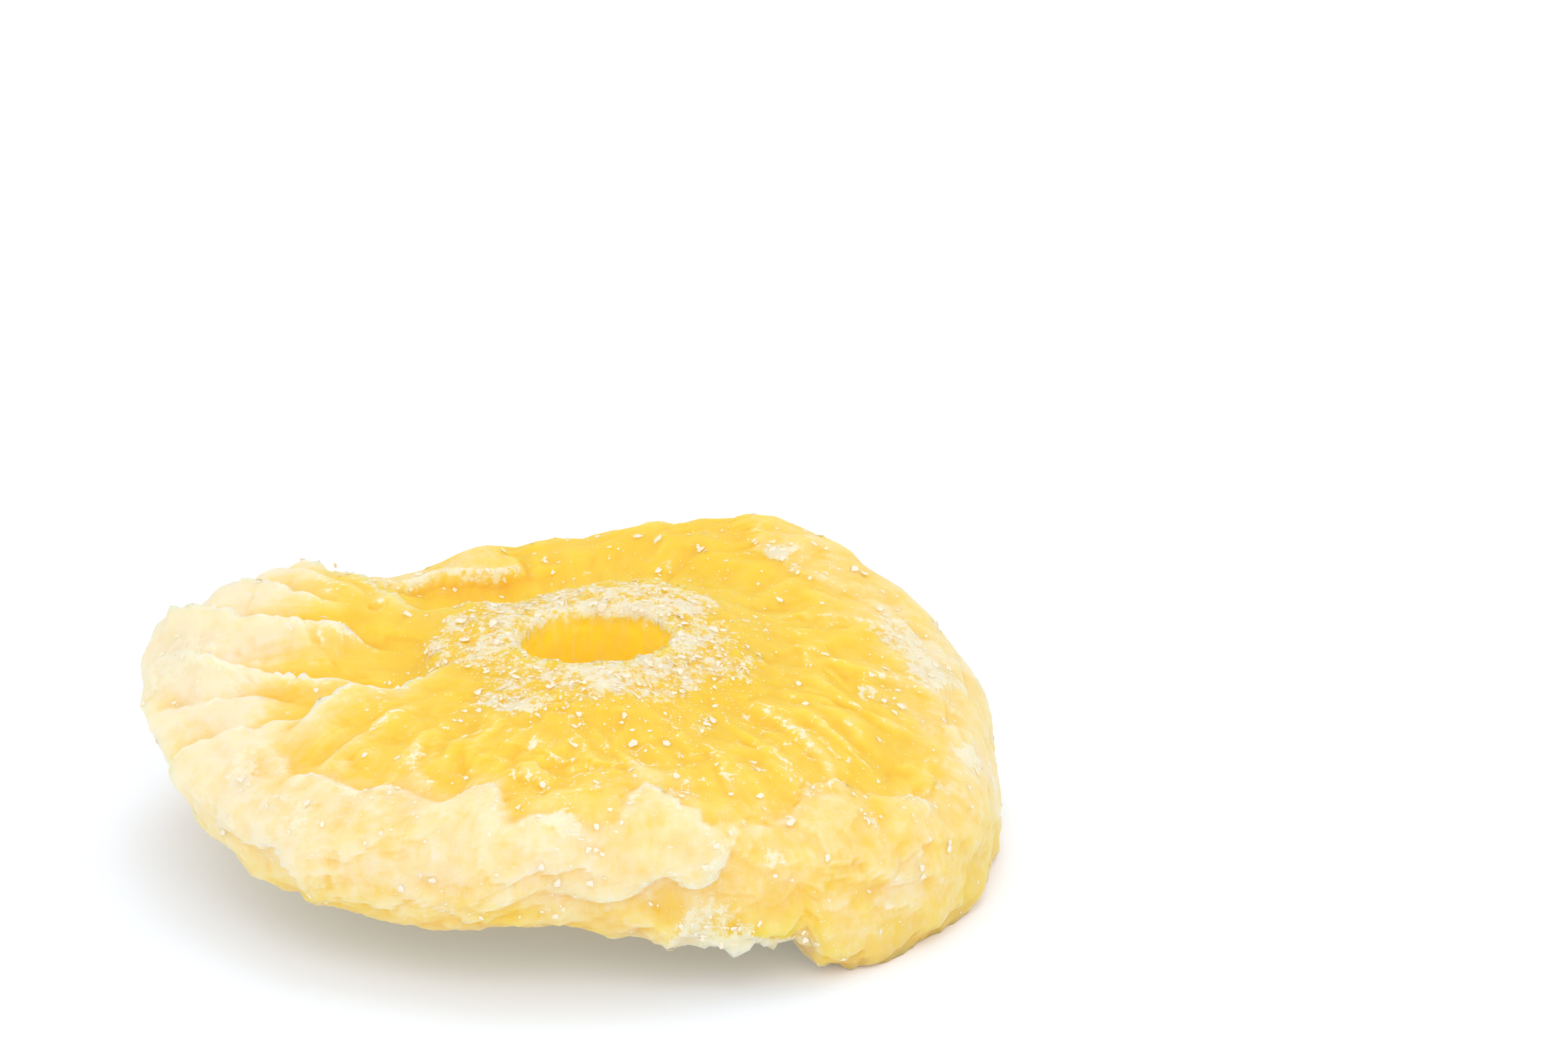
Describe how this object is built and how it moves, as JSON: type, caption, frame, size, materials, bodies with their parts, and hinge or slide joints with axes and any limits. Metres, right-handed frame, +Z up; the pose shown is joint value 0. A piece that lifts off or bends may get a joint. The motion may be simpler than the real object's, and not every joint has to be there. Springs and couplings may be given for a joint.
{
  "type": "dried pineapple ring",
  "caption": "Thick sugared ring of dried pineapple, domed and curled, with a hole through its raised core and a torn uneven rim.",
  "frame": {"origin": "on the surface it rests on, below the middle of the ring's bounding box", "axes": "+Z up, +X across the ring's widest way, -Y towards the viewer"},
  "size_m": [0.0758, 0.0669, 0.0225],
  "materials": {
    "sugared_flesh": "satin"
  },
  "bodies": {
    "root": {"pineapple_ring": "sugared_flesh"}
  },
  "joints": []
}
